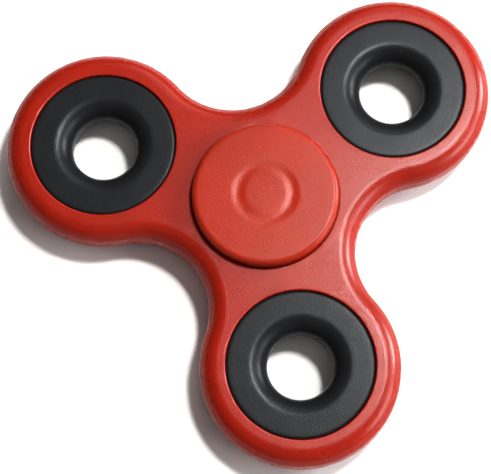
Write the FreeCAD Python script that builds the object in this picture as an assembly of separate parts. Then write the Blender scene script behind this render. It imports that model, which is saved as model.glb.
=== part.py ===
import FreeCAD, Part
import math
import os

# A three-lobed fidget spinner, in millimetres.
# The origin is the centre of the hub, half-way through the thickness. +Z is the spin axis.
# Lobe 1 points along +X, and the others follow every 120 degrees.
# Two finger caps plug into the bearing from both sides. The body turns round them on seven balls.

# --- body -----------------------------------------------------------------------------------
BODY_THICKNESS = 7.0
LOBES = 3
LOBE_PITCH_RADIUS = 25.8
LOBE_RADIUS = 14.85
WAIST_RADIUS = 10.9
BODY_EDGE_ROUND = 2.6
INSERT_RADIUS = 11.0
HOLE_EDGE_ROUND = 0.2
PARTING_LINE_HEIGHT = 0.05
PARTING_LINE_WIDTH = 0.16

# --- counterweights -------------------------------------------------------------------------
WEIGHT_RECESS = 0.25
WEIGHT_BORE_RADIUS = 4.9
WEIGHT_FUNNEL_ROUND = 2.75
WEIGHT_EDGE_ROUND = 0.5

# --- finger caps ----------------------------------------------------------------------------
CAP_RADIUS = 11.0
CAP_RISE = 2.0
CAP_GAP = 0.25
CAP_EDGE_ROUND = 0.85
CAP_EDGE_BREAK = 0.1
CAP_BOSS_RADIUS = 5.8
CAP_STUB_LENGTH = 3.2
CAP_STUB_CHAMFER = 0.3
CAP_STUB_HOLE_RADIUS = 2.5
CAP_STUB_HOLE_END = 0.4
SINK_RADIUS = 4.05
SINK_HALF_WIDTH = 1.2
SINK_DEPTH = 0.09

# --- 608 deep groove ball bearing -----------------------------------------------------------
BEARING_BORE_RADIUS = 4.0
BEARING_OUTER_RADIUS = 11.0
BEARING_CORNER = 0.3
BALLS = 7
BALL_RADIUS = 1.9845
BALL_PITCH_RADIUS = 7.5
BALL_CLEARANCE = 0.03
GROOVE_RADIUS = 2.08
INNER_LAND_RADIUS = 6.05
OUTER_LAND_RADIUS = 8.85

# --- shields --------------------------------------------------------------------------------
SHIELD_SEAT_RADIUS = 9.3
SHIELD_SEAT_DEPTH = 0.65
SHIELD_SHEET = 0.3
SHIELD_STEP = 0.15
SHIELD_INNER_RADIUS = 6.3
SHIELD_FLAT_RADIUS = 8.6

# --- cage -----------------------------------------------------------------------------------
CAGE_INNER_RADIUS = 6.75
CAGE_OUTER_RADIUS = 8.25
CAGE_SHEET = 0.35
CAGE_POCKET_CLEARANCE = 0.1
RIVET_RADIUS = 0.3
RIVET_HEAD_RADIUS = 0.5
RIVET_HEAD_HEIGHT = 0.2

ORIGIN = FreeCAD.Vector(0, 0, 0)
X_AXIS = FreeCAD.Vector(1, 0, 0)
Z_AXIS = FreeCAD.Vector(0, 0, 1)
HALF_THICKNESS = BODY_THICKNESS / 2


def polar(radius, degrees, height=0.0):
    """A point at a radius and an angle about the spin axis."""
    angle = math.radians(degrees)
    return FreeCAD.Vector(radius * math.cos(angle), radius * math.sin(angle), height)


def minor_arc(centre, start, end):
    """The shorter arc from start to end about a centre."""
    middle = (start - centre) + (end - centre)
    middle.Length = (start - centre).Length
    return Part.Arc(start, centre + middle, end).toShape()


def section_path(start, *steps):
    """Edges of a half section, with points as (radius, height).

    A step is a point, for a line, or a pair of an arc's centre and its end point.
    """
    edges = []
    here = FreeCAD.Vector(start[0], 0, start[1])
    for step in steps:
        is_arc = isinstance(step[0], tuple)
        radius, height = step[1] if is_arc else step
        end = FreeCAD.Vector(radius, 0, height)
        if is_arc:
            centre = FreeCAD.Vector(step[0][0], 0, step[0][1])
            edges.append(minor_arc(centre, here, end))
        else:
            edges.append(Part.LineSegment(here, end).toShape())
        here = end
    return edges


def spin(edges):
    """The solid that a closed half section sweeps about the spin axis."""
    face = Part.Face(Part.Wire(Part.sortEdges(edges)[0]))
    return face.revolve(ORIGIN, Z_AXIS, 360)


def spin_both_halves(upper_edges):
    """The solid of a half section that is the same above and below the mid-plane."""
    lower_edges = [edge.mirror(ORIGIN, Z_AXIS) for edge in upper_edges]
    return spin(upper_edges + lower_edges).removeSplitter()


def flipped(shape):
    """A copy for the underside, turned over about the X axis."""
    copy = shape.copy()
    copy.rotate(ORIGIN, X_AXIS, 180)
    return copy


def around(shape, centre_radius, degrees):
    """A copy of a shape that was made at the origin, moved out to a place about the spin axis."""
    copy = shape.copy()
    copy.translate(polar(centre_radius, degrees))
    return copy


def lobe_angles():
    return [360.0 * lobe / LOBES for lobe in range(LOBES)]


def ball_angles():
    return [360.0 * ball / BALLS for ball in range(BALLS)]


def body_outline(grow=0.0):
    """The lobes' round ends joined by tangent waist arcs, larger all round by grow."""
    half_step = math.pi / LOBES
    reach = LOBE_RADIUS + WAIST_RADIUS
    across = LOBE_PITCH_RADIUS * math.sin(half_step)
    waist_pitch_radius = LOBE_PITCH_RADIUS * math.cos(half_step) + math.sqrt(reach**2 - across**2)
    edges = []
    for degrees in lobe_angles():
        lobe_centre = polar(LOBE_PITCH_RADIUS, degrees)
        before = polar(waist_pitch_radius, degrees - 180.0 / LOBES)
        after = polar(waist_pitch_radius, degrees + 180.0 / LOBES)
        next_lobe = polar(LOBE_PITCH_RADIUS, degrees + 360.0 / LOBES)
        tip = polar(LOBE_PITCH_RADIUS + LOBE_RADIUS + grow, degrees)
        tangent_ratio = (LOBE_RADIUS + grow) / reach
        lobe_start = lobe_centre + (before - lobe_centre) * tangent_ratio
        lobe_end = lobe_centre + (after - lobe_centre) * tangent_ratio
        next_start = next_lobe + (after - next_lobe) * tangent_ratio
        edges.append(Part.Arc(lobe_start, tip, lobe_end).toShape())
        edges.append(minor_arc(after, lobe_end, next_start))
    return Part.Wire(edges)


def slab(wire, bottom, height):
    """A flat wire made into a solid between two heights."""
    solid = Part.Face(wire).extrude(FreeCAD.Vector(0, 0, height))
    solid.translate(FreeCAD.Vector(0, 0, bottom))
    return solid


def is_horizontal(edge):
    return edge.BoundBox.ZLength < 1e-6


def spinner_body():
    """The moulded body: rounded edges, four straight holes and a fine parting line at mid-height."""
    plate = slab(body_outline(), -HALF_THICKNESS, BODY_THICKNESS)
    rounded = plate.makeFillet(BODY_EDGE_ROUND, [edge for edge in plate.Edges if is_horizontal(edge)])
    witness = slab(body_outline(PARTING_LINE_HEIGHT), -PARTING_LINE_WIDTH / 2, PARTING_LINE_WIDTH)
    solid = rounded.fuse(witness)
    hole_centres = [ORIGIN] + [polar(LOBE_PITCH_RADIUS, degrees) for degrees in lobe_angles()]
    for centre in hole_centres:
        hole_bottom = centre - FreeCAD.Vector(0, 0, BODY_THICKNESS)
        solid = solid.cut(Part.makeCylinder(INSERT_RADIUS, 2 * BODY_THICKNESS, hole_bottom))
    rims = [edge for edge in solid.Edges if is_hole_rim(edge)]
    return solid.makeFillet(HOLE_EDGE_ROUND, rims)


def is_hole_rim(edge):
    """True for the full circles where a hole meets the top or the bottom face."""
    circle = edge.Curve
    is_circle = isinstance(circle, Part.Circle) and abs(circle.Radius - INSERT_RADIUS) < 1e-6
    return is_circle and abs(abs(circle.Center.z) - HALF_THICKNESS) < 1e-6


def counterweight():
    """A heavy ring that is the same on both faces, with a rounded funnel into a short straight bore."""
    face = HALF_THICKNESS - WEIGHT_RECESS
    shoulder = face - WEIGHT_EDGE_ROUND
    lip_radius = INSERT_RADIUS - WEIGHT_EDGE_ROUND
    mouth_radius = WEIGHT_BORE_RADIUS + WEIGHT_FUNNEL_ROUND
    funnel_end = face - WEIGHT_FUNNEL_ROUND
    upper = section_path(
        (INSERT_RADIUS, 0),
        (INSERT_RADIUS, shoulder),
        ((lip_radius, shoulder), (lip_radius, face)),
        (mouth_radius, face),
        ((mouth_radius, funnel_end), (WEIGHT_BORE_RADIUS, funnel_end)),
        (WEIGHT_BORE_RADIUS, 0),
    )
    return spin_both_halves(upper)


def finger_cap():
    """The upper cap: a disc with a shallow sink ring, a seat on the inner ring and a hollow stub."""
    top = HALF_THICKNESS + CAP_RISE
    under = HALF_THICKNESS + CAP_GAP
    stub_end = HALF_THICKNESS - CAP_STUB_LENGTH
    hole_end = HALF_THICKNESS + CAP_STUB_HOLE_END
    sink_round = (SINK_HALF_WIDTH**2 + SINK_DEPTH**2) / (4 * SINK_DEPTH)
    sink_start = SINK_RADIUS - SINK_HALF_WIDTH
    sink_stop = SINK_RADIUS + SINK_HALF_WIDTH
    flank_height = top - SINK_DEPTH / 2
    edge_start = CAP_RADIUS - CAP_EDGE_ROUND
    section = section_path(
        (0, top),
        (sink_start, top),
        ((sink_start, top - sink_round), (SINK_RADIUS - SINK_HALF_WIDTH / 2, flank_height)),
        ((SINK_RADIUS, top - SINK_DEPTH + sink_round), (SINK_RADIUS + SINK_HALF_WIDTH / 2, flank_height)),
        ((sink_stop, top - sink_round), (sink_stop, top)),
        (edge_start, top),
        ((edge_start, top - CAP_EDGE_ROUND), (CAP_RADIUS, top - CAP_EDGE_ROUND)),
        (CAP_RADIUS, under + CAP_EDGE_BREAK),
        (CAP_RADIUS - CAP_EDGE_BREAK, under),
        (CAP_BOSS_RADIUS, under),
        (CAP_BOSS_RADIUS, HALF_THICKNESS),
        (BEARING_BORE_RADIUS, HALF_THICKNESS),
        (BEARING_BORE_RADIUS, stub_end + CAP_STUB_CHAMFER),
        (BEARING_BORE_RADIUS - CAP_STUB_CHAMFER, stub_end),
        (CAP_STUB_HOLE_RADIUS, stub_end),
        (CAP_STUB_HOLE_RADIUS, hole_end),
        (0, hole_end),
        (0, top),
    )
    return spin(section)


def groove_half_width(groove_bottom, groove_centre, land_radius):
    """How far the ball groove reaches above the mid-plane where it meets a ring's land."""
    depth_side = abs(land_radius - groove_centre)
    return math.sqrt((groove_bottom - groove_centre) ** 2 - depth_side**2)


def bearing_outer_ring():
    """The outer ring, with a ball groove and a seat for a shield at each face."""
    groove_bottom = BALL_PITCH_RADIUS + BALL_RADIUS + BALL_CLEARANCE
    groove_centre = groove_bottom - GROOVE_RADIUS
    groove_edge = groove_half_width(groove_bottom, groove_centre, OUTER_LAND_RADIUS)
    seat = HALF_THICKNESS - SHIELD_SEAT_DEPTH
    upper = section_path(
        (BEARING_OUTER_RADIUS, 0),
        (BEARING_OUTER_RADIUS, HALF_THICKNESS - BEARING_CORNER),
        (BEARING_OUTER_RADIUS - BEARING_CORNER, HALF_THICKNESS),
        (SHIELD_SEAT_RADIUS, HALF_THICKNESS),
        (SHIELD_SEAT_RADIUS, seat),
        (OUTER_LAND_RADIUS, seat),
        (OUTER_LAND_RADIUS, groove_edge),
        ((groove_centre, 0), (groove_bottom, 0)),
    )
    return spin_both_halves(upper)


def bearing_inner_ring():
    """The inner ring, which both finger caps plug into."""
    groove_bottom = BALL_PITCH_RADIUS - BALL_RADIUS - BALL_CLEARANCE
    groove_centre = groove_bottom + GROOVE_RADIUS
    groove_edge = groove_half_width(groove_bottom, groove_centre, INNER_LAND_RADIUS)
    upper = section_path(
        (BEARING_BORE_RADIUS, 0),
        (BEARING_BORE_RADIUS, HALF_THICKNESS - BEARING_CORNER),
        (BEARING_BORE_RADIUS + BEARING_CORNER, HALF_THICKNESS),
        (INNER_LAND_RADIUS, HALF_THICKNESS),
        (INNER_LAND_RADIUS, groove_edge),
        ((groove_centre, 0), (groove_bottom, 0)),
    )
    return spin_both_halves(upper)


def bearing_shield():
    """The upper shield: a pressed sheet ring whose stepped rim sits in the outer ring's seat."""
    rim_bottom = HALF_THICKNESS - SHIELD_SEAT_DEPTH
    flat_bottom = rim_bottom + SHIELD_STEP
    step_width = SHIELD_STEP
    section = section_path(
        (SHIELD_INNER_RADIUS, flat_bottom),
        (SHIELD_INNER_RADIUS, flat_bottom + SHIELD_SHEET),
        (SHIELD_FLAT_RADIUS + step_width, flat_bottom + SHIELD_SHEET),
        (SHIELD_FLAT_RADIUS + 2 * step_width, rim_bottom + SHIELD_SHEET),
        (SHIELD_SEAT_RADIUS, rim_bottom + SHIELD_SHEET),
        (SHIELD_SEAT_RADIUS, rim_bottom),
        (SHIELD_FLAT_RADIUS + step_width, rim_bottom),
        (SHIELD_FLAT_RADIUS, flat_bottom),
        (SHIELD_INNER_RADIUS, flat_bottom),
    )
    return spin(section)


def cage_ring(height):
    """The flat ring above the mid-plane that a cage half is shaped from."""
    outer = Part.makeCylinder(CAGE_OUTER_RADIUS, height)
    inner = Part.makeCylinder(CAGE_INNER_RADIUS, height)
    return outer.cut(inner)


def cage_half():
    """The upper cage half: a ribbon with a domed pocket over each ball and rivet holes between."""
    pocket_radius = BALL_RADIUS + CAGE_POCKET_CLEARANCE
    dome_radius = pocket_radius + CAGE_SHEET
    half = cage_ring(CAGE_SHEET)
    dome_zone = cage_ring(dome_radius)
    for degrees in ball_angles():
        dome = around(Part.makeSphere(dome_radius), BALL_PITCH_RADIUS, degrees)
        half = half.fuse(dome.common(dome_zone))
    for degrees in ball_angles():
        pocket = around(Part.makeSphere(pocket_radius), BALL_PITCH_RADIUS, degrees)
        rivet_hole = around(Part.makeCylinder(RIVET_RADIUS, CAGE_SHEET), BALL_PITCH_RADIUS, degrees + 180.0 / BALLS)
        half = half.cut(pocket).cut(rivet_hole)
    return half.removeSplitter()


def cage_rivet():
    """One rivet through both halves, with a flat head at each end."""
    head_end = CAGE_SHEET + RIVET_HEAD_HEIGHT
    upper = section_path(
        (0, head_end),
        (RIVET_HEAD_RADIUS, head_end),
        (RIVET_HEAD_RADIUS, CAGE_SHEET),
        (RIVET_RADIUS, CAGE_SHEET),
        (RIVET_RADIUS, 0),
    )
    axis_edge = section_path((0, 0), (0, head_end))
    return spin_both_halves(upper + axis_edge)


def cage_rivets():
    """All the cage's rivets, one between each pair of balls."""
    rivet = cage_rivet()
    places = [degrees + 180.0 / BALLS for degrees in ball_angles()]
    return Part.Compound([around(rivet, BALL_PITCH_RADIUS, degrees) for degrees in places])


def pieces():
    """Every sub-part by name."""
    cap = finger_cap()
    shield = bearing_shield()
    half_cage = cage_half()
    weight = counterweight()
    ball = Part.makeSphere(BALL_RADIUS)
    named = {
        "spinner_body": spinner_body(),
        "finger_cap_top": cap,
        "finger_cap_bottom": flipped(cap),
        "bearing_outer_ring": bearing_outer_ring(),
        "bearing_inner_ring": bearing_inner_ring(),
        "bearing_shield_top": shield,
        "bearing_shield_bottom": flipped(shield),
        "cage_half_top": half_cage,
        "cage_half_bottom": half_cage.mirror(ORIGIN, Z_AXIS),
        "cage_rivets": cage_rivets(),
    }
    for number, degrees in enumerate(lobe_angles(), start=1):
        named[f"counterweight_{number}"] = around(weight, LOBE_PITCH_RADIUS, degrees)
    for number, degrees in enumerate(ball_angles(), start=1):
        named[f"ball_{number}"] = around(ball, BALL_PITCH_RADIUS, degrees)
    return named


def main():
    os.makedirs("parts", exist_ok=True)
    for name, shape in pieces().items():
        shape.exportStep(f"parts/{name}.step")
        print(f"{name}: valid {shape.isValid()}, solids {len(shape.Solids)}, {shape.Volume:.2f} mm3")


main()
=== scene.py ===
import math

import bpy
from mathutils import Matrix, Vector, noise
from mathutils.geometry import delaunay_2d_cdt


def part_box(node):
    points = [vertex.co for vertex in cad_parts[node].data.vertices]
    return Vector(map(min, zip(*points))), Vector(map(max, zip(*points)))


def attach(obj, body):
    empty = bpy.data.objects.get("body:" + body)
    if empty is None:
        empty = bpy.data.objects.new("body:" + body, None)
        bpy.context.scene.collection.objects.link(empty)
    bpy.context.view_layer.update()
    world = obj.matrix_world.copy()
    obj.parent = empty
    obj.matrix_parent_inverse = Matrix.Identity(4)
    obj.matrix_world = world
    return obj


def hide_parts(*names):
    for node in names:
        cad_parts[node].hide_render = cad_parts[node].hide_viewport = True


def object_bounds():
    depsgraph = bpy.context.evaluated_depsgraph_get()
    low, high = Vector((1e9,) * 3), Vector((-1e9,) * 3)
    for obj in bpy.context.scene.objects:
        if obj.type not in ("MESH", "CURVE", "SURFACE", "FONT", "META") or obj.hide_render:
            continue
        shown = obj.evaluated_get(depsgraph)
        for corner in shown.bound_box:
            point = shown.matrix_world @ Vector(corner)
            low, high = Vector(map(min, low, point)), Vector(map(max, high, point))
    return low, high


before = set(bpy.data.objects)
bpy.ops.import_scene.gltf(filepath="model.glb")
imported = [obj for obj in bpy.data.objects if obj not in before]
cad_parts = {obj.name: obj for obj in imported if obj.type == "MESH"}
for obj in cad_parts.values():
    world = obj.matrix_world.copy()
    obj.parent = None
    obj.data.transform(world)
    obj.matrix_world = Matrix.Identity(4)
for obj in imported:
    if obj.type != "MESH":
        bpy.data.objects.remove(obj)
cad_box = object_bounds()

# A red three-lobed fidget spinner on a white table. Everything is in metres, in the frame's axes.
MM = 0.001
TINY = 1e-9

# --- sizes that the frame's boxes don't hold ------------------------------------------------
WAIST_RADIUS = 10.9 * MM
BODY_EDGE_ROUND = 2.6 * MM
HOLE_EDGE_ROUND = 0.2 * MM
PARTING_HEIGHT = 0.05 * MM
PARTING_WIDTH = 0.16 * MM
WAVE_HEIGHT = 0.011 * MM
WAVE_SIZE = 9 * MM
WEIGHT_BORE_RADIUS = 4.9 * MM
WEIGHT_FUNNEL_ROUND = 2.75 * MM
WEIGHT_EDGE_ROUND = 0.5 * MM
CAP_GAP = 0.25 * MM
CAP_EDGE_ROUND = 0.85 * MM
CAP_EDGE_BREAK = 0.1 * MM
CAP_BOSS_RADIUS = 5.8 * MM
CAP_STUB_CHAMFER = 0.3 * MM
CAP_STUB_HOLE_RADIUS = 2.5 * MM
CAP_STUB_HOLE_END = 0.4 * MM
BEARING_BORE_RADIUS = 4.0 * MM
SINK_RADIUS = 4.05 * MM
SINK_HALF_WIDTH = 1.2 * MM
SINK_DEPTH = 0.09 * MM

# The sink mark's depth round the cap, as shares of its full depth: its mean, and then the
# (amount, start angle) of one swing a turn and of two swings a turn.
SINK_MEAN = 0.75
SINK_SWINGS = ((0.10, 0.7), (0.35, 1.4))

# --- mesh fineness --------------------------------------------------------------------------
OUTLINE_STEP = 0.45 * MM
FACE_STEP = 1.1 * MM
RIM_CLEARANCE = 0.45 * FACE_STEP
# A narrow flat strip beside each rounded edge keeps smooth shading from bending the flat face.
FLAT_MARGIN = 0.08 * MM
ROUND_STEPS = 12
SMALL_ROUND_STEPS = 4
CAP_FACE_STEPS = 48
RING_STEPS = 180
SHARP_ANGLE = math.radians(38.0)

# --- camera ---------------------------------------------------------------------------------
CAMERA_TARGET = (-6.37 * MM, -2.76 * MM)
CAMERA_DISTANCE = 232.53 * MM
CAMERA_NEAR_LIMIT = 10 * MM
CAMERA_AZIMUTH = math.radians(-128.88)
CAMERA_ELEVATION = math.radians(75.83)
CAMERA_ROLL = math.radians(-2.50)
CAMERA_LENS = 114.97
DISPLAY_GAMMA = 0.8

# --- table and lights -----------------------------------------------------------------------
TABLE_HALF_SIZE = 3.0
TABLE_TONES = ((0.95, 0.945, 0.94), (0.935, 0.93, 0.925))
TABLE_CLOUD_SIZE = 60 * MM
TABLE_ROUGHNESS = 0.6
WARM_LIGHT = (1.0, 0.985, 0.96)
WINDOW_LIGHT = (0.96, 0.98, 1.0)
COOL_LIGHT = (0.98, 0.99, 1.0)
FILL_LIGHT = (1.0, 1.0, 0.98)

# --- looks ----------------------------------------------------------------------------------
# A pair of numbers is a (low, high) range. A lean is a pair of angles from level, in degrees.
# A bump is its depth and its strength.
WHOLE = (0.0, 1.0)
MOST_OF_NOISE = (0.3, 0.7)
MIDDLE_OF_NOISE = (0.35, 0.65)
CLOUD_DETAIL = 3.0
GRAIN_SIZE = 0.25 * MM
GRAIN_DETAIL = 3.0
GRAIN_HARSHNESS = 0.6
FINE_GRAIN_SIZE = 0.10 * MM
REFRACTIVE_INDEX = 1.5

BODY_RED = (0.318, 0.0185, 0.0065)
BODY_WORN_RED = (0.38, 0.05, 0.03)
BODY_FACE_SHINE = 0.32
BODY_EDGE_SHINE = 0.56
CAP_RED = (0.355, 0.0300, 0.0103)
CAP_WORN_RED = (0.41, 0.07, 0.04)
CAP_FACE_SHINE = 0.25
CAP_EDGE_SHINE = 0.42

PLASTIC_CLOUD_SIZE = 7 * MM
PLASTIC_TONE_SPREAD = 0.08
PLASTIC_FACE_ROUGHNESS = (0.21, 0.28)
PLASTIC_EDGE_ROUGHNESS = (0.25, 0.30)
PLASTIC_EDGE_LEAN = (4, 24)
PLASTIC_SIDE_LEAN = (42, 62)
PLASTIC_SIDE_SHINE_SHARE = 0.25
PLASTIC_EDGE_GRAIN_SHARE = 0.35
PLASTIC_GLOW = 0.5
PLASTIC_GLOW_REACH = (0.9 * MM, 0.12 * MM, 0.06 * MM)
SCUFF_SIZE = 0.9 * MM
SCUFF_DETAIL = 4.0
SCUFF_HARSHNESS = 0.6
SCUFF_PART_OF_NOISE = (0.56, 0.76)
SCUFF_PART_OF_EDGE = (0.55, 1.0)
SCUFF_STRENGTH = 0.14
SCUFF_ROUGHNESS = 0.3
PLASTIC_CLOUD_BUMP = (0.004 * MM, 1.0)
PLASTIC_GRAIN_BUMP = (0.044 * MM, 0.8)
PLASTIC_FINE_GRAIN_BUMP = (0.010 * MM, 0.7)

COATING_TONES = ((0.0190, 0.0193, 0.0210), (0.0162, 0.0165, 0.0180))
COATING_RUBBED_TONE = (0.055, 0.056, 0.06)
COATING_TINT = (0.92, 0.96, 1.0, 1.0)
COATING_CLOUD_SIZE = 4 * MM
COATING_ROUGHNESS = (0.27, 0.35)
COATING_SHINE = 0.225
COATING_WALL_SHINE = 0.10
COATING_EDGE_LEAN = (10, 35)
COATING_WALL_LEAN = (50, 75)
RUB_SIZE = 0.6 * MM
RUB_DETAIL = 5.0
RUB_HARSHNESS = 0.7
RUB_PART_OF_NOISE = (0.58, 0.75)
RUB_PART_OF_EDGE = (0.3, 1.0)
RUB_STRENGTH = 0.2
COATING_CLOUD_BUMP = (0.003 * MM, 1.0)
COATING_GRAIN_BUMP = (0.034 * MM, 0.8)

RING_COLOUR = (0.62, 0.61, 0.60)
SHIELD_COLOUR = (0.55, 0.55, 0.55)
CAGE_COLOUR = (0.56, 0.54, 0.51)
BALL_COLOUR = (0.72, 0.72, 0.72)
STEEL_CLOUD_SIZE = 2 * MM
STEEL_DARKER_SHARE = 0.82
STEEL_MARK_DETAIL = 3.0
STEEL_ROUGHNESS_SPREAD = (-0.06, 0.08)
STEEL_MARK_BUMP = (0.004 * MM, 0.6)
STEEL_CLOUD_BUMP = (0.002 * MM, 0.5)


def spherical(azimuth, elevation):
    """The unit vector towards an azimuth from +X and an elevation above the table."""
    flat = math.cos(elevation)
    return Vector((flat * math.cos(azimuth), flat * math.sin(azimuth), math.sin(elevation)))


def around(centre, radius, angle):
    """The point of the plan at a radius and an angle from a centre."""
    return centre + radius * Vector((math.cos(angle), math.sin(angle)))


# --- mesh helpers ---------------------------------------------------------------------------
def piece_from(name, vertices, faces):
    """A smooth-shaded mesh object whose real edges stay crisp."""
    mesh = bpy.data.meshes.new(name)
    mesh.from_pydata(vertices, [], faces)
    mesh.validate()
    mesh.shade_smooth()
    mesh.set_sharp_from_angle(angle=SHARP_ANGLE)
    piece = bpy.data.objects.new(name, mesh)
    bpy.context.scene.collection.objects.link(piece)
    return piece


def arc_to(path, centre, end, steps):
    """Adds the shorter arc about a centre from the path's last point to an end point."""
    start_angle = math.atan2(path[-1][1] - centre[1], path[-1][0] - centre[0])
    end_angle = math.atan2(end[1] - centre[1], end[0] - centre[0])
    turn = (end_angle - start_angle + math.pi) % (2 * math.pi) - math.pi
    radius = math.hypot(end[0] - centre[0], end[1] - centre[1])
    for step in range(1, steps + 1):
        angle = start_angle + turn * step / steps
        path.append((centre[0] + radius * math.cos(angle), centre[1] + radius * math.sin(angle)))


def line_to(path, end, steps=1):
    """Adds evenly spaced points from the path's last point to an end point."""
    start = path[-1]
    for step in range(1, steps + 1):
        share = step / steps
        path.append(tuple(a + (b - a) * share for a, b in zip(start, end)))


def spun(path, centre, closed, shift=None):
    """Vertices and faces of a path of (radius, height) points turned about a vertical axis.

    An open path starts and ends on the axis. shift(radius, angle, height) may change each height.
    """
    vertices = []
    faces = []
    rings = []
    for radius, height in path:
        on_axis = radius < TINY
        steps = 1 if on_axis else RING_STEPS
        rings.append(range(len(vertices), len(vertices) + steps))
        for step in range(steps):
            angle = 2 * math.pi * step / RING_STEPS
            x = centre[0] + radius * math.cos(angle)
            y = centre[1] + radius * math.sin(angle)
            vertices.append((x, y, shift(radius, angle, height) if shift else height))
    following = rings[1:] + rings[:1] if closed else rings[1:]
    for ring, next_ring in zip(rings, following):
        for step in range(RING_STEPS):
            after = (step + 1) % RING_STEPS
            corners = [ring[step % len(ring)], next_ring[step % len(next_ring)]]
            corners += [next_ring[after % len(next_ring)], ring[after % len(ring)]]
            faces.append(tuple(dict.fromkeys(corners)))
    return vertices, faces


def mirrored(path):
    """The same path below the mid-plane, from its end back to its start."""
    return [(radius, -height) for radius, height in reversed(path)]


# --- sizes from the frame -------------------------------------------------------------------
body_low, body_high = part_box("spinner_body")
weight_low, weight_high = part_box("counterweight_1")
cap_low, cap_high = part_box("finger_cap_top")
HALF_THICKNESS = body_high.z
PITCH_RADIUS = (weight_low.x + weight_high.x) / 2
INSERT_RADIUS = (weight_high.x - weight_low.x) / 2
WEIGHT_HALF_HEIGHT = weight_high.z
LOBE_RADIUS = body_high.x - PARTING_HEIGHT - PITCH_RADIUS
CAP_RADIUS = cap_high.x
CAP_TOP = cap_high.z
CAP_STUB_END = cap_low.z
LOBE_ANGLES = [2 * math.pi * lobe / 3 for lobe in range(3)]
LOBE_CENTRES = [Vector((PITCH_RADIUS * math.cos(a), PITCH_RADIUS * math.sin(a))) for a in LOBE_ANGLES]
HOLE_CENTRES = [Vector((0, 0)), *LOBE_CENTRES]


# --- body -----------------------------------------------------------------------------------
def waist_pitch_radius():
    """How far from the hub a waist's arc is centred, so that it touches the lobes on both sides."""
    along = PITCH_RADIUS * math.cos(math.pi / 3)
    across = PITCH_RADIUS * math.sin(math.pi / 3)
    return along + math.sqrt((LOBE_RADIUS + WAIST_RADIUS) ** 2 - across**2)


def outline(inset):
    """The body's outline moved in by inset, with the same number of points for every inset."""
    waist_pitch = waist_pitch_radius()
    sideways = waist_pitch * math.sin(math.pi / 3)
    outwards = waist_pitch * math.cos(math.pi / 3) - PITCH_RADIUS
    lobe_half_turn = math.atan2(sideways, outwards)
    waist_half_turn = lobe_half_turn - math.pi / 3
    lobe_steps = round(2 * lobe_half_turn * LOBE_RADIUS / OUTLINE_STEP)
    waist_steps = round(2 * waist_half_turn * WAIST_RADIUS / OUTLINE_STEP)
    points = []
    for lobe_angle, lobe_centre in zip(LOBE_ANGLES, LOBE_CENTRES):
        for step in range(lobe_steps):
            angle = lobe_angle + lobe_half_turn * (2 * step / lobe_steps - 1)
            points.append(around(lobe_centre, LOBE_RADIUS - inset, angle))
        waist_angle = lobe_angle + math.pi / 3
        waist_centre = waist_pitch * Vector((math.cos(waist_angle), math.sin(waist_angle)))
        for step in range(waist_steps):
            angle = waist_angle + math.pi + waist_half_turn * (1 - 2 * step / waist_steps)
            points.append(around(waist_centre, WAIST_RADIUS + inset, angle))
    return points


def edge_profile():
    """(inset, height) points down the body's side, from the top face to the bottom face."""
    round_height = HALF_THICKNESS - BODY_EDGE_ROUND
    upper = [(BODY_EDGE_ROUND + FLAT_MARGIN, HALF_THICKNESS)]
    line_to(upper, (BODY_EDGE_ROUND, HALF_THICKNESS))
    arc_to(upper, (BODY_EDGE_ROUND, round_height), (0, round_height), ROUND_STEPS)
    line_to(upper, (0, PARTING_WIDTH), steps=2)
    line_to(upper, (-PARTING_HEIGHT * 0.7, PARTING_WIDTH / 2))
    line_to(upper, (-PARTING_HEIGHT, PARTING_WIDTH / 5))
    return upper + mirrored(upper)


def hole_profile():
    """(radius, height) points down a hole, from the top face to the bottom face."""
    mouth_radius = INSERT_RADIUS + HOLE_EDGE_ROUND
    round_height = HALF_THICKNESS - HOLE_EDGE_ROUND
    near_middle = 0.1 * HALF_THICKNESS
    upper = [(mouth_radius + FLAT_MARGIN, HALF_THICKNESS)]
    line_to(upper, (mouth_radius, HALF_THICKNESS))
    arc_to(upper, (mouth_radius, round_height), (INSERT_RADIUS, round_height), SMALL_ROUND_STEPS)
    line_to(upper, (INSERT_RADIUS, near_middle), steps=3)
    return upper + mirrored(upper)


def inside_polygon(point, polygon):
    """Whether a point lies in an outline: a ray from it then crosses an odd number of edges."""
    inside = False
    for start, end in zip(polygon, polygon[1:] + polygon[:1]):
        if (start[1] > point[1]) != (end[1] > point[1]):
            crossing = start[0] + (point[1] - start[1]) * (end[0] - start[0]) / (end[1] - start[1])
            inside ^= point[0] < crossing
    return inside


def face_pattern(rim, holes):
    """Points and triangles that fill a flat face between its rim and its holes.

    The points start with the rim's and the holes', and evenly spread inner ones follow.
    """
    hole_radius = (holes[0][0] - HOLE_CENTRES[0]).length
    points = list(rim)
    loops = [range(len(rim))]
    for hole in holes:
        loops.append(range(len(points), len(points) + len(hole)))
        points += hole
    edges = [(a, b) for loop in loops for a, b in zip(loop, [*loop[1:], loop[0]])]
    near_rim = outline(BODY_EDGE_ROUND + RIM_CLEARANCE)
    row_step = FACE_STEP * math.sqrt(3) / 2
    rows = int((PITCH_RADIUS + LOBE_RADIUS) / row_step)
    for row in range(-rows, rows + 1):
        for column in range(-rows, rows + 1):
            point = Vector(((column + 0.5 * (row % 2)) * FACE_STEP, row * row_step))
            clear = all((point - c).length > hole_radius + RIM_CLEARANCE for c in HOLE_CENTRES)
            if clear and inside_polygon(point, near_rim):
                points.append(point)
    found, _, triangles, origins, _, _ = delaunay_2d_cdt(points, edges, [], 0, TINY)
    hole_edge_radius = hole_radius * math.cos(math.pi / RING_STEPS)
    kept = []
    for triangle in triangles:
        middle = sum((found[i] for i in triangle), Vector((0, 0))) / 3
        solid = all((middle - c).length > hole_edge_radius for c in HOLE_CENTRES)
        if solid and inside_polygon(middle, rim):
            kept.append(tuple(origins[i][0] for i in triangle))
    return points, kept


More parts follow.
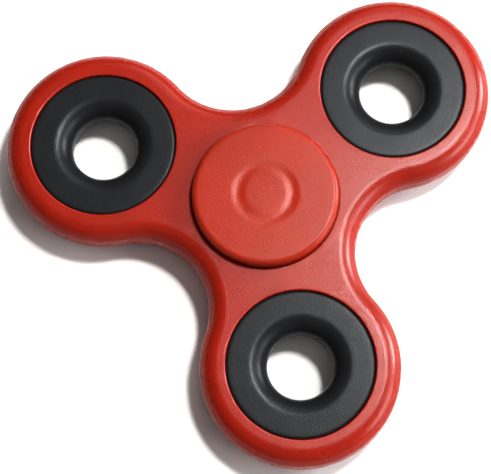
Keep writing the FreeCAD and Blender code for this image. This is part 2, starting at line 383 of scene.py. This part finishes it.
def moulding_wave(x, y, height):
    """Slight unevenness of the moulded faces, which dies away towards the body's mid-height."""
    noise_plane = 0.3
    wave = WAVE_HEIGHT * noise.noise(Vector((x, y, noise_plane)) / WAVE_SIZE)
    return math.copysign(wave * abs(height / HALF_THICKNESS) ** 3, height)


def build_body():
    """The moulded body as one closed mesh, with rounded edges, four holes and a parting line."""
    vertices = []
    faces = []

    def add_ring(points, height):
        first = len(vertices)
        for x, y in points:
            vertices.append((x, y, height + moulding_wave(x, y, height)))
        return list(range(first, len(vertices)))

    def join(upper, lower, outward):
        for a, b, c, d in zip(upper, upper[1:] + upper[:1], lower[1:] + lower[:1], lower):
            faces.append((a, d, c, b) if outward else (a, b, c, d))

    side_rings = [add_ring(outline(inset), height) for inset, height in edge_profile()]
    for upper, lower in zip(side_rings, side_rings[1:]):
        join(upper, lower, outward=True)
    angles = [2 * math.pi * step / RING_STEPS for step in range(RING_STEPS)]
    hole_rims = []
    for centre in HOLE_CENTRES:
        rings = []
        for radius, height in hole_profile():
            rings.append(add_ring([around(centre, radius, angle) for angle in angles], height))
        for upper, lower in zip(rings, rings[1:]):
            join(upper, lower, outward=False)
        hole_rims.append((rings[0], rings[-1]))
    rim_points = [Vector(vertices[i][:2]) for i in side_rings[0]]
    hole_points = [[Vector(vertices[i][:2]) for i in rims[0]] for rims in hole_rims]
    pattern, triangles = face_pattern(rim_points, hole_points)
    boundary = len(rim_points) + sum(map(len, hole_points))
    for side, sign in ((0, 1), (-1, -1)):
        index = list(side_rings[side])
        for rims in hole_rims:
            index += rims[side]
        index += add_ring(pattern[boundary:], sign * HALF_THICKNESS)
        for triangle in triangles:
            corners = tuple(index[i] for i in triangle)
            faces.append(corners if sign > 0 else corners[::-1])
    return piece_from("moulded_body", vertices, faces)


# --- counterweights -------------------------------------------------------------------------
def weight_profile():
    """Half of a weight's section, from its widest point over the face to the middle of its bore."""
    face = WEIGHT_HALF_HEIGHT
    near_middle = 0.05 * face
    lip = (INSERT_RADIUS - WEIGHT_EDGE_ROUND, face - WEIGHT_EDGE_ROUND)
    funnel = (WEIGHT_BORE_RADIUS + WEIGHT_FUNNEL_ROUND, face - WEIGHT_FUNNEL_ROUND)
    path = [(INSERT_RADIUS, near_middle)]
    line_to(path, (INSERT_RADIUS, lip[1]), steps=3)
    arc_to(path, lip, (lip[0], face), ROUND_STEPS)
    line_to(path, (funnel[0], face), steps=6)
    arc_to(path, funnel, (WEIGHT_BORE_RADIUS, funnel[1]), 2 * ROUND_STEPS)
    line_to(path, (WEIGHT_BORE_RADIUS, near_middle))
    return path


def build_weight(number, centre):
    """One ring weight, the same on both sides."""
    path = weight_profile()
    vertices, faces = spun(path + mirrored(path), centre, closed=True)
    return piece_from(f"ring_weight_{number}", vertices, faces)


# --- finger caps ----------------------------------------------------------------------------
def sink_dip(radius, angle):
    """Depth of the ring-shaped sink mark, a little deeper on some sides than on others."""
    offset = abs(radius - SINK_RADIUS)
    if offset >= SINK_HALF_WIDTH:
        return 0.0
    uneven = SINK_MEAN
    for swings, (amount, start) in enumerate(SINK_SWINGS, start=1):
        uneven += amount * math.cos(swings * angle + start)
    return SINK_DEPTH * uneven * 0.5 * (1 + math.cos(math.pi * offset / SINK_HALF_WIDTH))


def cap_profile():
    """The cap's section from the middle of its face round to the middle of its underside."""
    under = HALF_THICKNESS + CAP_GAP
    rim = (CAP_RADIUS - CAP_EDGE_ROUND, CAP_TOP - CAP_EDGE_ROUND)
    edge_break = (CAP_RADIUS - CAP_EDGE_BREAK, under + CAP_EDGE_BREAK)
    path = [(0, CAP_TOP)]
    line_to(path, (rim[0], CAP_TOP), CAP_FACE_STEPS)
    arc_to(path, rim, (CAP_RADIUS, rim[1]), ROUND_STEPS)
    line_to(path, (CAP_RADIUS, edge_break[1]), steps=2)
    arc_to(path, edge_break, (edge_break[0], under), steps=3)
    for corner in (
        (CAP_BOSS_RADIUS, under),
        (CAP_BOSS_RADIUS, HALF_THICKNESS),
        (BEARING_BORE_RADIUS, HALF_THICKNESS),
        (BEARING_BORE_RADIUS, CAP_STUB_END + CAP_STUB_CHAMFER),
        (BEARING_BORE_RADIUS - CAP_STUB_CHAMFER, CAP_STUB_END),
        (CAP_STUB_HOLE_RADIUS, CAP_STUB_END),
        (CAP_STUB_HOLE_RADIUS, HALF_THICKNESS + CAP_STUB_HOLE_END),
        (0, HALF_THICKNESS + CAP_STUB_HOLE_END),
    ):
        line_to(path, corner, steps=2)
    return path


def build_cap(name, side):
    """One cap: side is 1 for the top and -1 for the bottom, which is turned over about X."""

    def shift(radius, angle, height):
        return height - sink_dip(radius, angle) if height > CAP_TOP - TINY else height

    vertices, faces = spun(cap_profile(), (0, 0), closed=False, shift=shift)
    vertices = [(x, side * y, side * z) for x, y, z in vertices]
    return piece_from(name, vertices, faces)


# --- material helpers -----------------------------------------------------------------------
def new_material(name):
    """A node material, its node tree and its Principled shader."""
    material = bpy.data.materials.new(name)
    material.use_nodes = True
    tree = material.node_tree
    shader = tree.nodes["Principled BSDF"]
    return material, tree, shader


def feed(tree, socket, value):
    """Links a node's input from another socket, or sets it to a plain value."""
    if isinstance(value, bpy.types.NodeSocket):
        tree.links.new(value, socket)
    else:
        socket.default_value = value


def add_node(tree, kind, settings=None, **inputs):
    """Adds a node with its settings and inputs. An input called i and a number is the one there."""
    made = tree.nodes.new("ShaderNode" + kind)
    for key, value in (settings or {}).items():
        setattr(made, key, value)
    for key, value in inputs.items():
        numbered = key[0] == "i" and key[1:].isdigit()
        feed(tree, made.inputs[int(key[1:]) if numbered else key], value)
    return made


def piece_noise(tree, size, detail=2.0, harshness=0.5):
    """Noise fixed to the piece, with features of about a size in metres."""
    place = add_node(tree, "TexCoord").outputs["Object"]
    scale = 1 / size
    made = add_node(tree, "TexNoise", Vector=place, Scale=scale, Detail=detail, Roughness=harshness)
    return made.outputs["Fac"]


def rescaled(tree, value, source, target):
    """A value mapped smoothly from one (low, high) pair to another, and held at its ends."""
    node = add_node(tree, "MapRange", {"interpolation_type": "SMOOTHSTEP"}, Value=value)
    for name, limit in zip(("From Min", "From Max", "To Min", "To Max"), (*source, *target)):
        node.inputs[name].default_value = limit
    return node.outputs["Result"]


def soft_clouds(tree, size):
    """Broad patches of about a size in metres, from 0 to 1."""
    return rescaled(tree, piece_noise(tree, size, CLOUD_DETAIL), MIDDLE_OF_NOISE, WHOLE)


def maths(tree, operation, first, second):
    """The result of a Math node on two values or sockets."""
    return add_node(tree, "Math", {"operation": operation}, i0=first, i1=second).outputs["Value"]


def value_mix(tree, factor, first, second):
    """Two value sockets mixed by a factor."""
    node = add_node(tree, "Mix", {"data_type": "FLOAT"}, Factor=factor, i2=first, i3=second)
    return node.outputs[0]


def colour_mix(tree, factor, first, second):
    """Two colours mixed by a factor. Each is a socket or an (r, g, b)."""
    first, second = ((*c, 1.0) if isinstance(c, tuple) else c for c in (first, second))
    node = add_node(tree, "Mix", {"data_type": "RGBA"}, Factor=factor, i6=first, i7=second)
    return node.outputs[2]


def edge_share(tree, lean):
    """0 on level faces, rising to 1 over a (start, end) lean of the surface in degrees."""
    start, end = (math.cos(math.radians(angle)) for angle in lean)
    normal = add_node(tree, "NewGeometry").outputs["Normal"]
    upward = add_node(tree, "SeparateXYZ", Vector=normal).outputs["Z"]
    level = maths(tree, "ABSOLUTE", upward, 0.0)
    return rescaled(tree, level, (end, start), (1.0, 0.0))


def bumped(tree, shader, *layers):
    """Stacks bump layers of (height, depth in metres, strength) into the shader's normal."""
    normal = None
    for height, depth, strength in layers:
        bump = add_node(tree, "Bump", Height=height, Distance=depth, Strength=strength)
        if normal is not None:
            tree.links.new(normal, bump.inputs["Normal"])
        normal = bump.outputs["Normal"]
    tree.links.new(normal, shader.inputs["Normal"])


# --- materials ------------------------------------------------------------------------------
def moulded_plastic(name, colour, worn_colour, face_shine, edge_shine):
    """Red moulded plastic: grained faces, smoother rounded edges and faint scuffs on them."""
    material, tree, shader = new_material(name)
    edge = edge_share(tree, PLASTIC_EDGE_LEAN)
    clouds = soft_clouds(tree, PLASTIC_CLOUD_SIZE)
    grain = piece_noise(tree, GRAIN_SIZE, GRAIN_DETAIL, GRAIN_HARSHNESS)
    fine_grain = piece_noise(tree, FINE_GRAIN_SIZE)

    scuff_noise = piece_noise(tree, SCUFF_SIZE, SCUFF_DETAIL, SCUFF_HARSHNESS)
    scuffs = rescaled(tree, scuff_noise, SCUFF_PART_OF_NOISE, WHOLE)
    scuffed_edge = rescaled(tree, edge, SCUFF_PART_OF_EDGE, (0.0, SCUFF_STRENGTH))
    wear = maths(tree, "MULTIPLY", scuffs, scuffed_edge)

    spots = rescaled(tree, grain, MOST_OF_NOISE, WHOLE)
    mottle = maths(tree, "MULTIPLY", maths(tree, "ADD", clouds, spots), 0.5)
    bright_colour = tuple((1 + PLASTIC_TONE_SPREAD) * channel for channel in colour)
    deep_colour = tuple((1 - PLASTIC_TONE_SPREAD) * channel for channel in colour)
    tone = colour_mix(tree, mottle, bright_colour, deep_colour)
    tree.links.new(colour_mix(tree, wear, tone, worn_colour), shader.inputs["Base Color"])

    face_roughness = rescaled(tree, grain, MOST_OF_NOISE, PLASTIC_FACE_ROUGHNESS)
    edge_roughness = rescaled(tree, clouds, WHOLE, PLASTIC_EDGE_ROUGHNESS)
    unworn = value_mix(tree, edge, face_roughness, edge_roughness)
    worn = maths(tree, "MULTIPLY", wear, SCUFF_ROUGHNESS)
    tree.links.new(maths(tree, "ADD", unworn, worn), shader.inputs["Roughness"])

    side = edge_share(tree, PLASTIC_SIDE_LEAN)
    duller_side = rescaled(tree, side, WHOLE, (1.0, PLASTIC_SIDE_SHINE_SHARE))
    front_shine = rescaled(tree, edge, WHOLE, (face_shine, edge_shine))
    shader.inputs["Specular IOR Level"].default_value = face_shine
    shine = maths(tree, "MULTIPLY", front_shine, duller_side)
    tree.links.new(shine, shader.inputs["Specular IOR Level"])

    shader.inputs["IOR"].default_value = REFRACTIVE_INDEX
    shader.inputs["Subsurface Weight"].default_value = PLASTIC_GLOW
    shader.inputs["Subsurface Radius"].default_value = PLASTIC_GLOW_REACH
    shader.inputs["Subsurface Scale"].default_value = 1.0
    grain_share = rescaled(tree, edge, WHOLE, (1.0, PLASTIC_EDGE_GRAIN_SHARE))
    grain_height = maths(tree, "MULTIPLY", grain_share, grain)
    bumped(
        tree,
        shader,
        (clouds, *PLASTIC_CLOUD_BUMP),
        (grain_height, *PLASTIC_GRAIN_BUMP),
        (fine_grain, *PLASTIC_FINE_GRAIN_BUMP),
    )
    return material


def black_coating(name):
    """Matt black coating with a fine grain, rubbed a little brighter at its edges."""
    material, tree, shader = new_material(name)
    edge = edge_share(tree, COATING_EDGE_LEAN)
    clouds = soft_clouds(tree, COATING_CLOUD_SIZE)
    grain = piece_noise(tree, GRAIN_SIZE, GRAIN_DETAIL, GRAIN_HARSHNESS)

    rub_noise = piece_noise(tree, RUB_SIZE, RUB_DETAIL, RUB_HARSHNESS)
    rub = rescaled(tree, rub_noise, RUB_PART_OF_NOISE, WHOLE)
    rubbed_edge = rescaled(tree, edge, RUB_PART_OF_EDGE, (0.0, RUB_STRENGTH))
    wear = maths(tree, "MULTIPLY", rub, rubbed_edge)
    tone = colour_mix(tree, clouds, *COATING_TONES)
    tree.links.new(colour_mix(tree, wear, tone, COATING_RUBBED_TONE), shader.inputs["Base Color"])

    roughness = rescaled(tree, grain, MOST_OF_NOISE, COATING_ROUGHNESS)
    tree.links.new(roughness, shader.inputs["Roughness"])
    shader.inputs["IOR"].default_value = REFRACTIVE_INDEX
    wall = edge_share(tree, COATING_WALL_LEAN)
    shader.inputs["Specular IOR Level"].default_value = COATING_SHINE
    shine = rescaled(tree, wall, WHOLE, (COATING_SHINE, COATING_WALL_SHINE))
    tree.links.new(shine, shader.inputs["Specular IOR Level"])
    shader.inputs["Specular Tint"].default_value = COATING_TINT
    bumped(tree, shader, (clouds, *COATING_CLOUD_BUMP), (grain, *COATING_GRAIN_BUMP))
    return material


def turned_steel(name, colour, roughness, groove_size):
    """Steel with fine turning marks round the part's axis and uneven polish."""
    material, tree, shader = new_material(name)
    place = add_node(tree, "TexCoord").outputs["Object"]
    flatten = (1.0, 1.0, 0.0)
    flat = add_node(tree, "VectorMath", {"operation": "MULTIPLY"}, i0=place, i1=flatten)
    radius = add_node(tree, "VectorMath", {"operation": "LENGTH"}, i0=flat.outputs["Vector"])
    height = add_node(tree, "SeparateXYZ", Vector=place).outputs["Z"]
    across = add_node(tree, "CombineXYZ", X=radius.outputs["Value"], Y=height).outputs["Vector"]
    grooves = {"Vector": across, "Scale": 1 / groove_size, "Detail": STEEL_MARK_DETAIL}
    marks = add_node(tree, "TexNoise", **grooves).outputs["Fac"]
    clouds = soft_clouds(tree, STEEL_CLOUD_SIZE)
    darker = tuple(STEEL_DARKER_SHARE * channel for channel in colour)
    tree.links.new(colour_mix(tree, clouds, colour, darker), shader.inputs["Base Color"])
    limits = [roughness + spread for spread in STEEL_ROUGHNESS_SPREAD]
    tree.links.new(rescaled(tree, marks, MOST_OF_NOISE, limits), shader.inputs["Roughness"])
    shader.inputs["Metallic"].default_value = 1.0
    bumped(tree, shader, (marks, *STEEL_MARK_BUMP), (clouds, *STEEL_CLOUD_BUMP))
    return material


def white_table(name):
    """A plain pale table top."""
    material, tree, shader = new_material(name)
    patches = rescaled(tree, piece_noise(tree, TABLE_CLOUD_SIZE, CLOUD_DETAIL), MOST_OF_NOISE, WHOLE)
    tree.links.new(colour_mix(tree, patches, *TABLE_TONES), shader.inputs["Base Color"])
    shader.inputs["Roughness"].default_value = TABLE_ROUGHNESS
    return material


# --- stage ----------------------------------------------------------------------------------
def build_table():
    """A large flat table top at the height of the spinner's lowest point."""
    size = TABLE_HALF_SIZE
    low = cad_box[0].z
    corners = [(x * size, y * size, low) for x, y in ((-1, -1), (1, -1), (1, 1), (-1, 1))]
    mesh = bpy.data.meshes.new("table_top")
    mesh.from_pydata(corners, [], [(0, 1, 2, 3)])
    table = bpy.data.objects.new("table_top", mesh)
    bpy.context.scene.collection.objects.link(table)
    table.data.materials.append(white_table("table_paint"))


def add_softbox(name, azimuth, elevation, distance, size, brightness, colour, reflected=True):
    """An area light facing the spinner. At brightness 1, a white surface that faces it shows as 1."""
    light = bpy.data.lights.new(name, "AREA")
    light.shape = "RECTANGLE"
    light.size, light.size_y = size
    light.energy = brightness * (math.pi * distance) ** 2
    light.color = colour
    lamp = bpy.data.objects.new(name, light)
    towards = spherical(math.radians(azimuth), math.radians(elevation))
    lamp.location = towards * distance
    lamp.rotation_euler = towards.to_track_quat("Z", "Y").to_euler()
    lamp.visible_glossy = reflected
    bpy.context.scene.collection.objects.link(lamp)


def dim_room(bright_azimuth, dark_side, bright_side):
    """A soft room round the table, brighter towards one side."""
    world = bpy.data.worlds.new("studio")
    world.use_nodes = True
    tree = world.node_tree
    direction = add_node(tree, "TexCoord").outputs["Generated"]
    towards = spherical(math.radians(bright_azimuth), 0.0)
    along = add_node(tree, "VectorMath", {"operation": "DOT_PRODUCT"}, i0=direction, i1=towards)
    strength = rescaled(tree, along.outputs["Value"], (-1.0, 1.0), (dark_side, bright_side))
    tree.links.new(strength, tree.nodes["Background"].inputs["Strength"])
    tree.nodes["Background"].inputs["Color"].default_value = (*FILL_LIGHT, 1.0)
    bpy.context.scene.world = world


def build_lights():
    """A small key light on one side, softer and lower lights round it, a fill and a dim room."""
    add_softbox(
        "key_light", azimuth=-4.6, elevation=70.2, distance=0.45,
        size=(0.05, 0.05), brightness=0.99, colour=WARM_LIGHT,
    )
    add_softbox(
        "window_light", azimuth=-23, elevation=22, distance=1.2,
        size=(0.35, 0.22), brightness=0.66, colour=WINDOW_LIGHT,
    )
    add_softbox(
        "side_light", azimuth=-30, elevation=45, distance=1.2,
        size=(0.6, 0.6), brightness=0.17, colour=COOL_LIGHT,
    )
    add_softbox(
        "low_side_light", azimuth=-60, elevation=25, distance=1.2,
        size=(0.6, 0.5), brightness=0.44, colour=COOL_LIGHT,
    )
    add_softbox(
        "back_light", azimuth=30, elevation=45, distance=1.2,
        size=(0.6, 0.6), brightness=0.21, colour=COOL_LIGHT,
    )
    add_softbox(
        "overhead_light", azimuth=-100, elevation=78, distance=1.0,
        size=(0.8, 0.8), brightness=0.17, colour=FILL_LIGHT, reflected=False,
    )
    dim_room(bright_azimuth=-55, dark_side=0.055, bright_side=0.195)


def build_camera():
    """The camera above the spinner's top face, turned as the picture is framed."""
    camera = bpy.data.cameras.new("camera")
    camera.lens = CAMERA_LENS
    camera.clip_start = CAMERA_NEAR_LIMIT
    holder = bpy.data.objects.new("camera", camera)
    back = spherical(CAMERA_AZIMUTH, CAMERA_ELEVATION)
    target = Vector((*CAMERA_TARGET, HALF_THICKNESS))
    turn = back.to_track_quat("Z", "Y").to_matrix().to_4x4() @ Matrix.Rotation(CAMERA_ROLL, 4, "Z")
    holder.matrix_world = Matrix.Translation(target + back * CAMERA_DISTANCE) @ turn
    bpy.context.scene.collection.objects.link(holder)
    bpy.context.scene.camera = holder


# --- assembly -------------------------------------------------------------------------------
def dress(piece, material, body, node):
    """Finishes a new piece: its material, its body and the node it stands for."""
    piece.data.materials.clear()
    piece.data.materials.append(material)
    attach(piece, body)
    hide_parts(node)


def paint_nodes(names, material):
    """Gives CAD nodes that stay in the scene their material."""
    for name in names:
        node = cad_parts[name]
        node.data.materials.clear()
        node.data.materials.append(material)


def build_new_pieces():
    """The pieces that are seen: the body, the weights and both finger caps."""
    red = moulded_plastic("body_plastic", BODY_RED, BODY_WORN_RED, BODY_FACE_SHINE, BODY_EDGE_SHINE)
    cap_red = moulded_plastic("cap_plastic", CAP_RED, CAP_WORN_RED, CAP_FACE_SHINE, CAP_EDGE_SHINE)
    black = black_coating("weight_coating")
    dress(build_body(), red, "rotor", "spinner_body")
    for number, centre in enumerate(LOBE_CENTRES, start=1):
        weight = build_weight(number, centre)
        dress(weight, black, "rotor", f"counterweight_{number}")
    dress(build_cap("cap_upper", 1), cap_red, "hub", "finger_cap_top")
    dress(build_cap("cap_lower", -1), cap_red, "hub", "finger_cap_bottom")


def paint_bearing():
    """The bearing behind the caps keeps its CAD shapes and gets its steels."""
    ring_steel = turned_steel("ring_steel", RING_COLOUR, roughness=0.28, groove_size=0.08 * MM)
    shield_steel = turned_steel("shield_steel", SHIELD_COLOUR, roughness=0.34, groove_size=0.12 * MM)
    cage_steel = turned_steel("cage_steel", CAGE_COLOUR, roughness=0.36, groove_size=0.15 * MM)
    ball_steel = turned_steel("ball_steel", BALL_COLOUR, roughness=0.10, groove_size=0.5 * MM)
    paint_nodes(("bearing_outer_ring", "bearing_inner_ring"), ring_steel)
    paint_nodes(("bearing_shield_top", "bearing_shield_bottom"), shield_steel)
    paint_nodes(("cage_half_top", "cage_half_bottom", "cage_rivets"), cage_steel)
    paint_nodes([name for name in sorted(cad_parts) if name.startswith("ball_")], ball_steel)


build_table()
build_lights()
build_camera()
build_new_pieces()
paint_bearing()
bpy.context.scene.view_settings.view_transform = "Standard"
bpy.context.scene.view_settings.gamma = DISPLAY_GAMMA
